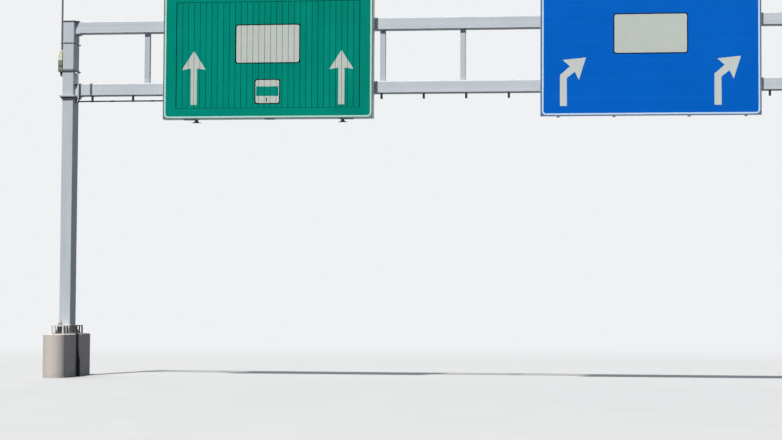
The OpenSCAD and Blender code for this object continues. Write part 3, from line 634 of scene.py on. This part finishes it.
def makePrismArt(art):
    made = 0
    for number in range(1, prismCount + 1):
        name = "prism_%02d" % number
        low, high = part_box(name)
        x = (low.x + high.x) / 2
        front = low.y - filmDepth * film["proud"]
        cuts = [((x + side * art["flat"], 0, 0), (side, 0, 0)) for side in (-1, 1)]
        bm = bmesh.new()
        for tipX, tipZ in art["arrowTips"]:
            addFlat(bm, arrowPoints(tipX, tipZ, art), front, rounding=film["arrowRounding"], cuts=cuts)
        addPanel(bm, *art["panel"], front, cuts)
        addPanel(bm, *art["mark"], front, cuts)
        for shape, finish in (("markBand", 2), ("markBar", 1)):
            addFlat(bm, rectangle(*art[shape]), front - filmDepth, filmDepth / 2, finish, cuts=cuts)
        if bm.faces:
            makePiece(bm, name + "_artwork", [whiteSheeting, darkSheeting, prismSheeting],
                      name)
            made += 1
        else:
            bm.free()
    return made


print("prism artwork on", makePrismArt(prismArt), "prisms")


# sheeting on the four boards round the prisms, and the white line on it
boardFilm = {
    "lip": 0.002, "window": ((-5.8638, 5.493), (-2.0607, 7.677)),
    "lineSide": 0.027, "lineFoot": 0.022, "lineWidth": 0.028, "lineRounding": (0.086, 8),
}


def makeBoardFilm(look):
    low, high = casing
    front = low.y - filmDepth * film["proud"]
    rim, lip = film["rim"], look["lip"]
    (left, foot), (right, head) = (low.x + rim, low.z + rim), (high.x - rim, high.z - rim)
    (x0, z0), (x1, z1) = look["window"]
    bm = bmesh.new()
    for board in (((left, foot), (x0 - lip, head)), ((x1 + lip, foot), (right, head)),
                  ((x0 - lip, foot), (x1 + lip, z0 - lip)), ((x0 - lip, z1 + lip), (x1 + lip, head))):
        addFlat(bm, rectangle(*board), front)
    addFlat(bm, rectangle((left, foot), (right, head)), front - filmDepth / 4, finish=1,
            width=film["rimWidth"])
    makePiece(bm, "board_sheeting", [greenSheeting, greenRim])
    bm = bmesh.new()
    side, foot = look["lineSide"], look["lineFoot"]
    line = rectangle((low.x + side, low.z + foot), (high.x - side, high.z - foot))
    addFlat(bm, line, front - filmDepth / 2, rounding=look["lineRounding"], width=look["lineWidth"])
    makePiece(bm, "board_white_line", [lineSheeting])


makeBoardFilm(boardFilm)


# artwork of the blue sign: planks of film, a white line, two bent arrows and a bare panel
laneArt = {
    "seam": 0.0003, "lineLeft": 0.031, "lineRight": 0.028, "lineFoot": 0.025, "lineWidth": 0.032,
    "lineRounding": (0.082, 8), "arrows": (1.974, 5.019), "arrowFoot": 5.485,
    "arrow": ((0, 0), (0.139, 0), (0.136, 0.559), (0.296, 0.685), (0.376, 0.520), (0.519, 0.969),
              (0.056, 0.923), (0.200, 0.794), (0, 0.622)),
    "panel": ((3.032, 6.516), (4.507, 7.333)),
}


def makeLaneArt(art):
    low, high = laneSign
    front = low.y - filmDepth * film["proud"]
    rim = film["rim"]
    pitch = (high.z - low.z) / plankCount
    sheeting, line, marks = bmesh.new(), bmesh.new(), bmesh.new()
    around = rectangle((low.x + art["lineLeft"], low.z + art["lineFoot"]),
                       (high.x - art["lineRight"], high.z - art["lineFoot"]))
    edges = rectangle((low.x + rim, low.z + rim), (high.x - rim, high.z - rim))
    for row in range(plankCount):
        z0 = max(low.z + row * pitch + art["seam"], low.z + rim)
        z1 = min(low.z + (row + 1) * pitch - art["seam"], high.z - rim)
        addFlat(sheeting, rectangle((low.x + rim, z0), (high.x - rim, z1)), front)
        cuts = [((0, 0, z0), (0, 0, -1)), ((0, 0, z1), (0, 0, 1))]
        addFlat(line, around, front - filmDepth / 2, rounding=art["lineRounding"], cuts=cuts,
                width=art["lineWidth"])
        for x in art["arrows"]:
            points = [(x + dx, art["arrowFoot"] + dz) for dx, dz in art["arrow"]]
            addFlat(marks, points, front - filmDepth / 2, finish=2, rounding=film["arrowRounding"],
                    cuts=cuts)
        addPanel(marks, *art["panel"], front - filmDepth / 2, cuts)
        addFlat(sheeting, edges, front - filmDepth / 4, finish=1, cuts=cuts, width=film["rimWidth"])
    makePiece(sheeting, "lane_sign_sheeting", [blueSheeting, blueRim])
    makePiece(line, "lane_sign_white_line", [coolLineSheeting])
    makePiece(marks, "lane_sign_artwork", [whiteSheeting, darkBlueSheeting, arrowSheeting])


makeLaneArt(laneArt)
print("sign faces made")


# welds, splice bolts, anchor rods and a capped lifting pin at each column
columnFittings = {
    "shaft": (0.1175, 0.205, 0.020), "footWeld": 0.010, "spliceWeld": 0.005, "capWeld": 0.006,
    "splice": (5.760, 5.810), "spliceBolt": 0.014, "spliceRows": (-0.085, 0.0, 0.085), "spliceEnd": 0.2220,
    "spliceSide": 0.1345, "spliceColumns": (-0.16, -0.055, 0.055, 0.16), "basePlate": 0.020,
    "anchorBolt": 0.030, "anchorSide": 0.048, "anchorPitch": 0.1966, "anchorCount": 7, "anchorStub": 1.3,
    "pinForward": 0.50,
    "pin": ((0, 0), (0.075, 0), (0.075, 0.006), (0.041, 0.009), (0.042, 0.050), (0.037, 0.064),
            (0.026, 0.074), (0.012, 0.079), (0.0105, 0.118), (0.006, 0.124), (0, 0.124)),
}


def makeColumnFittings(look):
    welds, bolts, painted = bmesh.new(), bmesh.new(), bmesh.new()
    under, over = look["splice"]
    for side, beamward in (("left", 1), ("right", -1)):
        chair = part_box("anchor_chair_" + side)
        x = (chair[0].x + chair[1].x) / 2
        top = chair[1].z
        for weld, z, turn in (("footWeld", top, 0), ("spliceWeld", under, math.pi), ("spliceWeld", over, 0),
                              ("capWeld", upper[1].z, math.pi)):
            addWeldRing(welds, *look["shaft"], look[weld], turnedAt(x, 0, z, turn))
        spots = [(row, end * look["spliceEnd"]) for row in look["spliceRows"] for end in (-1, 1)]
        spots += [(-beamward * look["spliceSide"], y) for y in look["spliceColumns"]]
        outermost = look["spliceColumns"][0], look["spliceColumns"][-1]
        spots += [(beamward * look["spliceSide"], y) for y in outermost]
        for dx, y in spots:
            addBolt(painted, (x + dx, y, over), (0, 0, 1), look["spliceBolt"], 0)
            addBolt(painted, (x + dx, y, under), (0, 0, -1), look["spliceBolt"])
        for bay in range(look["anchorCount"]):
            y = (bay - (look["anchorCount"] - 1) / 2) * look["anchorPitch"]
            for dx in (-look["anchorSide"], look["anchorSide"]):
                seat = x + dx, y, chair[0].z + look["basePlate"]
                addBolt(bolts, seat, (0, 0, 1), look["anchorBolt"], look["anchorStub"])
        addTurned(bolts, look["pin"], Matrix.Translation((x, -look["pinForward"], top)))
    makePiece(welds, "column_welds", [paintedWeld])
    makePiece(painted, "splice_bolts", [paintedWeld])
    makePiece(bolts, "anchor_rods_and_pins", [dullBolt])


makeColumnFittings(columnFittings)


# welds at both ends of the nine posts and where the chords meet the column heads
beamWelds = {
    "posts": 9, "pitch": 1.64, "post": (0.055, 0.055, 0.009), "postWeld": 0.007,
    "chord": (0.125, 0.110, 0.018), "chordWeld": 0.008,
}


def makeBeamWelds(look):
    bm = bmesh.new()
    for number in range(look["posts"]):
        x = (number - (look["posts"] - 1) / 2) * look["pitch"]
        for z, turn in ((lower[1].z, 0), (upper[0].z, math.pi)):
            addWeldRing(bm, *look["post"], look["postWeld"], turnedAt(x, 0, z, turn))
    for chord in (lower, upper):
        z = (chord[0].z + chord[1].z) / 2
        for x, turn in ((chord[0].x, quarterTurn), (chord[1].x, -quarterTurn)):
            addWeldRing(bm, *look["chord"], look["chordWeld"], turnedAt(x, 0, z, turn, "Y"))
    makePiece(bm, "beam_welds", [paintedWeld])


makeBeamWelds(beamWelds)


# bolts and plates that hold the two signs on the chords
signFittings = {
    "ringBolt": 0.016, "ringBoltAt": 0.085, "hangers": (-5.4825, -2.4420),
    "rails": (1.9372, 3.0459, 4.5252, 5.6338), "arms": (5.935, 7.235), "armFront": -0.320, "armBack": -0.118,
    "plate": (0.055, 0.045, 0.008), "plateEdge": 0.0015, "plateBolt": 0.012, "plateBoltAt": 0.043,
    "railHalf": 0.030, "clip": (0.022, 0.018, 0.010), "clipEdge": 0.002, "clipBolt": 0.010,
}


def makeSignFittings(look):
    bolts, plates = bmesh.new(), bmesh.new()
    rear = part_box("beam_clamps")[1].y
    for x in look["hangers"] + look["rails"]:
        for chord in (lower, upper):
            z = (chord[0].z + chord[1].z) / 2
            for dz in (-look["ringBoltAt"], look["ringBoltAt"]):
                addBolt(bolts, (x, rear, z + dz), (0, 1, 0), look["ringBolt"])
    wide, tall, thick = look["plate"]
    for x in look["rails"]:
        for z in look["arms"]:
            for face, out in ((look["armFront"], 1), (look["armBack"], -1)):
                seat = face + thick * out
                addBlock(plates, (x - wide, min(face, seat), z - tall), (x + wide, max(face, seat), z + tall),
                         look["plateEdge"])
                for dx in (-look["plateBoltAt"], look["plateBoltAt"]):
                    addBolt(bolts, (x + dx, seat, z), (0, out, 0), look["plateBolt"])
    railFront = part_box("lane_sign_rails")[0].y
    wide, tall, thick = look["clip"]
    clipRear = railFront + thick
    pitch = (laneSign[1].z - laneSign[0].z) / plankCount
    for x in look["rails"]:
        for row in range(1, plankCount):
            z = laneSign[0].z + row * pitch
            for side in (-1, 1):
                middle = x + side * (look["railHalf"] + wide)
                addBlock(plates, (middle - wide, railFront, z - tall), (middle + wide, clipRear, z + tall),
                         look["clipEdge"])
                addBolt(bolts, (middle, clipRear, z), (0, 1, 0), look["clipBolt"])
    makePiece(plates, "sign_fixing_plates", [galvanisedSteel])
    makePiece(bolts, "sign_fixing_bolts", [dullBolt])


makeSignFittings(signFittings)


# the rest of the prism sign: rivets round its back sheet, and a thin clip under its middle
caseLook = {
    "pitch": 0.150, "inset": 0.020, "rivet": (0.0065, 0.0035, 0.0026), "rivetSides": 8,
    "clip": ((-4.030, -0.395, -0.009), (-3.825, -0.215, 0.0)), "clipEdge": 0.002,
}


def makeCaseFittings(look):
    rivets, clip = bmesh.new(), bmesh.new()
    low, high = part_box("sign_case")
    inset, pitch = look["inset"], look["pitch"]
    x0, x1, z0, z1 = low.x + inset, high.x - inset, low.z + inset, high.z - inset
    across, along = round((x1 - x0) / pitch), round((z1 - z0) / pitch)
    spots = [(x0 + (x1 - x0) * i / across, z) for i in range(across + 1) for z in (z0, z1)]
    spots += [(x, z0 + (z1 - z0) * i / along) for i in range(1, along) for x in (x0, x1)]
    wide, top, proud = look["rivet"]
    for x, z in spots:
        addRod(rivets, (x, high.y, z), (x, high.y + proud, z), wide, look["rivetSides"], top)
    (ax, ay, az), (bx, by, bz) = look["clip"]
    addBlock(clip, (ax, ay, low.z + az), (bx, by, low.z + bz), look["clipEdge"])
    makePiece(rivets, "case_rivets", [millAluminium])
    makePiece(clip, "case_clip", [sootyZinc])


makeCaseFittings(caseLook)


# nuts on the bands, sleeves and end boots on the conduit, strap buckles, and the cap of the mast
lineFittings = {
    "bandNut": 0.016, "nutWidth": 0.92, "nutHeight": 0.8, "bandHeights": (6.335, 6.906),
    "bandNutAt": (-8.0645, 0.185),
    "sleeves": (-7.30, -6.45), "sleeve": (0.0172, 0.035), "conduitZ": 5.705, "glandHalf": 0.0238,
    "boot": ((0, 0), (0.035, 0), (0.035, 0.010), (0.031, 0.016), (0.031, 0.050), (0.025, 0.064),
             (0.0165, 0.068), (0, 0.068)),
    "mastRing": (0.0215, 0.012), "mastRingDown": 0.001, "roundSides": 20,
    "straps": (-7.9675, -7.729, 7.859, 7.9675), "strapThick": 0.004, "buckle": (0.020, 0.010, 0.024),
    "buckleEdge": 0.002, "buckleBolt": 0.008,
}


def makeLineFittings(look):
    dark, soft = bmesh.new(), bmesh.new()
    size = look["bandNut"]
    for z in look["bandHeights"]:
        start = Vector((*look["bandNutAt"], z))
        addRod(dark, start, start + Vector((size * look["nutHeight"], 0, 0)), size * look["nutWidth"], 6)
    wide, proud, tall = look["buckle"]
    rear = lower[1].y + look["strapThick"]
    middle = (lower[0].z + lower[1].z) / 2
    for x in look["straps"]:
        addBlock(dark, (x - wide, rear, middle - tall), (x + wide, rear + proud, middle + tall),
                 look["buckleEdge"])
        addBolt(dark, (x, rear + proud, middle), (0, 1, 0), look["buckleBolt"])
    makePiece(dark, "band_and_strap_fittings", [sootyZinc])
    radius, half = look["sleeve"]
    z = look["conduitZ"]
    for x in look["sleeves"]:
        addRod(soft, (x - half, 0, z), (x + half, 0, z), radius, look["roundSides"])
    start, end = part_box("cable_conduit")
    for x, y, turn, axis in ((start.x, 0, quarterTurn, "Y"),
                             (end.x - look["glandHalf"], start.y, -quarterTurn, "X")):
        addTurned(soft, look["boot"], turnedAt(x, y, z, turn, axis))
    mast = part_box("mast")
    x, y = (mast[0].x + mast[1].x) / 2, (mast[0].y + mast[1].y) / 2
    radius, half = look["mastRing"]
    top = mast[1].z - half - look["mastRingDown"]
    addRod(soft, (x, y, top - half), (x, y, top + half), radius, look["roundSides"])
    makePiece(soft, "sleeves_boots_and_mast_cap", [greyedRubber])


makeLineFittings(lineFittings)


# the equipment box: a door on its outer side, two meter windows in front, and glands with their cables below
boxLook = {
    "lidOver": 0.002, "lid": 0.014, "socket": 0.026,  # the lid's overhang and height, the mast's socket on it
    "doorProud": 0.024, "doorInset": (0.002, 0.004), "doorOverlap": 0.001, "doorEdge": 0.005, "doorSteps": 3,
    "hinge": (0.004, 0.030), "hingeIn": 0.07, "hingeSides": 10,
    "lock": ((0, 0), (0.011, 0), (0.011, 0.003), (0.007, 0.005), (0, 0.005)),
    "lockIn": 0.028, "lockSides": 14,
    "framing": (0.001, 0.236, 0.003), "framingIn": (0.004, 0.003), "framingSunk": 0.004, "framingEdge": 0.001,
    "windows": ((0.030, 0.100), (0.140, 0.218)), "windowIn": 0.012, "windowProud": 0.002,
    "windowEdge": 0.0008,
    "glands": ((0.020, 0.040), (0.026, 0.082), (0.022, 0.126)), "gland": (0.014, 0.030), "glandSides": 12,
    "cable": (0.008, 0.024), "cableSides": 10, "bendSteps": 8, "columnHalf": 0.110,
}


def addBend(bm, start, across, radius, pipe, reach, steps, sides):
    # a cable that comes down from the start point, bends a quarter turn and runs straight on
    part = bmesh.new()
    bmesh.ops.create_circle(part, segments=sides, radius=pipe)
    across = across.normalized()
    axis = across.cross(Vector((0, 0, -1)))
    spun = bmesh.ops.spin(part, geom=part.verts[:] + part.edges[:], cent=across * radius, axis=axis,
                          angle=-quarterTurn, steps=steps)
    ring = [g for g in spun["geom_last"] if isinstance(g, bmesh.types.BMEdge)]
    drawn = bmesh.ops.extrude_edge_only(part, edges=ring)["geom"]
    far = [g for g in drawn if isinstance(g, bmesh.types.BMVert)]
    bmesh.ops.translate(part, vec=across * reach, verts=far)
    bmesh.ops.translate(part, vec=start, verts=part.verts)
    pourInto(bm, part)


def makeBoxFittings(look):
    low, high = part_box("equipment_box")
    low = Vector((low.x + look["lidOver"], low.y + look["lidOver"], low.z))
    top = high.z - look["socket"] - look["lid"]
    back = high.y - look["lidOver"]
    painted, dark, glass = bmesh.new(), bmesh.new(), bmesh.new()
    rubber, metal = bmesh.new(), bmesh.new()
    doorX = low.x - look["doorProud"]
    inY, inZ = look["doorInset"]
    addBlock(painted, (doorX, low.y + inY, low.z + inZ), (low.x + look["doorOverlap"], back - inY, top - inZ),
             look["doorEdge"], look["doorSteps"])
    radius, half = look["hinge"]
    x, y = low.x, low.y + inY
    for z in (low.z + look["hingeIn"], top - look["hingeIn"]):
        addRod(metal, (x, y, z - half), (x, y, z + half), radius, look["hingeSides"])
    place = turnedAt(doorX, back - look["lockIn"], (low.z + top) / 2, -quarterTurn, "Y")
    addTurned(metal, look["lock"], place, look["lockSides"])
    x0, x1 = doorX + look["framingIn"][0], high.x - look["framingIn"][1]
    inset, tall, proud = look["framing"]
    # the frame's dark olive over the lower half of the front is painted shadow
    addBlock(dark, (x0, low.y - proud, low.z + inset),
             (x1, low.y + look["framingSunk"], low.z + inset + tall), look["framingEdge"])
    x0, x1 = x0 + look["windowIn"], x1 - look["windowIn"]
    for z0, z1 in look["windows"]:
        addBlock(glass, (x0, low.y - proud - look["windowProud"], low.z + z0),
                 (x1, low.y - proud, low.z + z1), look["windowEdge"])
    radius, tall = look["gland"]
    pipe, bend = look["cable"]
    columnFace = -columnAt - look["columnHalf"]
    for dx, dy in look["glands"]:
        x, y = low.x + dx, low.y + dy
        addRod(rubber, (x, y, low.z - tall), (x, y, low.z), radius, look["glandSides"])
        addRod(rubber, (x, y, low.z - tall * 2), (x, y, low.z - tall), pipe, look["cableSides"])
        addBend(rubber, Vector((x, y, low.z - tall * 2)), Vector((1, 0, 0)), bend, pipe,
                columnFace - x - bend, look["bendSteps"], look["cableSides"])
    makePiece(painted, "box_door", [boxPowderCoat])
    makePiece(dark, "box_meter_frame", [boxPaintedShadow])
    makePiece(glass, "box_meter_windows", [meterGlass])
    makePiece(metal, "box_hinges_and_lock", [dullBolt])
    makePiece(rubber, "box_glands_and_cables", [greyedRubber])


makeBoxFittings(boxLook)
print("fittings made")


# light, floor and backdrop: a high lamp from the left of the road, a weak wide one from behind, a pale sky
stageLook = {
    "sunStrength": 4.85, "sunAngle": 2.0, "sunHeight": 58.0, "sunSide": 12.0,  # angles in degrees
    "rearStrength": 1.3, "rearAngle": 70.0, "rearHeight": 38.0, "rearSide": 140.0, "lampColour": "#FFFAF3",
    "skyStrength": 0.18, "skyColour": "#C4D9FB", "backdrop": "#EFF1F3",
    "floorSize": 320.0, "floorSquares": 8, "floorColour": "#B5B8BB", "floorBounce": "#515355",
    "floorRough": 0.9, "floorGloss": 0.1, "mottleSize": 1500, "mottleAmount": 0.05,
    "fadeFrom": 13.0, "fadeTo": 42.0,
}


def seenDirectly(tree):
    # 1 for the camera's own rays and for what gloss and glass show, 0 for light from surface to surface
    rays = addNode(tree, "ShaderNodeLightPath")
    seen = rays["Is Camera Ray"]
    for kind in ("Is Glossy Ray", "Is Transmission Ray"):
        seen = addNode(tree, "ShaderNodeMath", {"operation": "MAXIMUM"}, {0: seen, 1: rays[kind]})[0]
    return seen


def makeLamps(look):
    for kind in ("sun", "rear"):
        lamp = bpy.data.lights.new(kind + "Lamp", "SUN")
        lamp.energy = look[kind + "Strength"]
        lamp.angle = math.radians(look[kind + "Angle"])
        lamp.color = toLinear(look["lampColour"])[:3]
        light = bpy.data.objects.new(kind + "Lamp", lamp)
        height, side = math.radians(look[kind + "Height"]), math.radians(look[kind + "Side"])
        level = math.cos(height)
        towards = Vector((math.sin(side) * level, math.cos(side) * level, -math.sin(height)))
        light.rotation_euler = towards.to_track_quat("-Z", "Y").to_euler()
        bpy.context.scene.collection.objects.link(light)


def makeSky(look):
    world = bpy.data.worlds.new("paleSky")
    bpy.context.scene.world = world
    world.use_nodes = True
    tree = world.node_tree
    sky = tree.nodes["Background"]
    sky.inputs["Color"].default_value = toLinear(look["skyColour"])
    sky.inputs["Strength"].default_value = look["skyStrength"]
    shown = addNode(tree, "ShaderNodeBackground", {"Color": toLinear(look["backdrop"]), "Strength": 1.0})
    mixed = addNode(tree, "ShaderNodeMixShader",
                    links={0: seenDirectly(tree), 1: sky.outputs[0], 2: shown[0]})
    tree.links.new(mixed[0], tree.nodes["World Output"].inputs["Surface"])


def makeFloor(look):
    bm = bmesh.new()
    squares = look["floorSquares"]
    bmesh.ops.create_grid(bm, x_segments=squares, y_segments=squares, size=look["floorSize"] / 2)
    mesh = bpy.data.meshes.new("floor")
    bm.to_mesh(mesh)
    bm.free()
    floor = bpy.data.objects.new("floor", mesh)
    bpy.context.scene.collection.objects.link(floor)
    plain = bpy.data.materials.new("paleFloor")  # matt pale floor, fading into the backdrop far out
    plain.use_nodes = True
    tree = plain.node_tree
    shader = tree.nodes["Principled BSDF"]
    shader.inputs["Roughness"].default_value = look["floorRough"]
    shader.inputs["Specular IOR Level"].default_value = look["floorGloss"]
    seen = seenDirectly(tree)
    place = addNode(tree, "ShaderNodeTexCoord")["Object"]
    mottle = addNode(tree, "ShaderNodeTexNoise", {"Scale": perMetre(look["mottleSize"]), "Detail": 5.0},
                     {"Vector": place})["Fac"]
    pale = addNode(tree, "ShaderNodeMix",
                   {"data_type": "RGBA", "blend_type": "OVERLAY", 0: look["mottleAmount"],
                    6: toLinear(look["floorColour"])}, {7: mottle})[2]
    colour = addNode(tree, "ShaderNodeMix", {"data_type": "RGBA", 6: toLinear(look["floorBounce"])},
                     {0: seen, 7: pale})[2]
    tree.links.new(colour, shader.inputs["Base Color"])
    reach = addNode(tree, "ShaderNodeVectorMath", {"operation": "LENGTH"}, {0: place})["Value"]
    far = addNode(tree, "ShaderNodeMapRange",
                  {"interpolation_type": "SMOOTHSTEP",
                   "From Min": look["fadeFrom"], "From Max": look["fadeTo"]},
                  {"Value": reach})["Result"]
    far = addNode(tree, "ShaderNodeMath", {"operation": "MULTIPLY"}, {0: far, 1: seen})[0]
    glow = addNode(tree, "ShaderNodeEmission", {"Color": toLinear(look["backdrop"]), "Strength": 1.0})
    mixed = addNode(tree, "ShaderNodeMixShader", links={0: far, 1: shader.outputs[0], 2: glow[0]})
    tree.links.new(mixed[0], tree.nodes["Material Output"].inputs["Surface"])
    floor.data.materials.append(plain)


bpy.context.scene.view_settings.view_transform = "Standard"
makeLamps(stageLook)
makeSky(stageLook)
makeFloor(stageLook)
print("stage made")
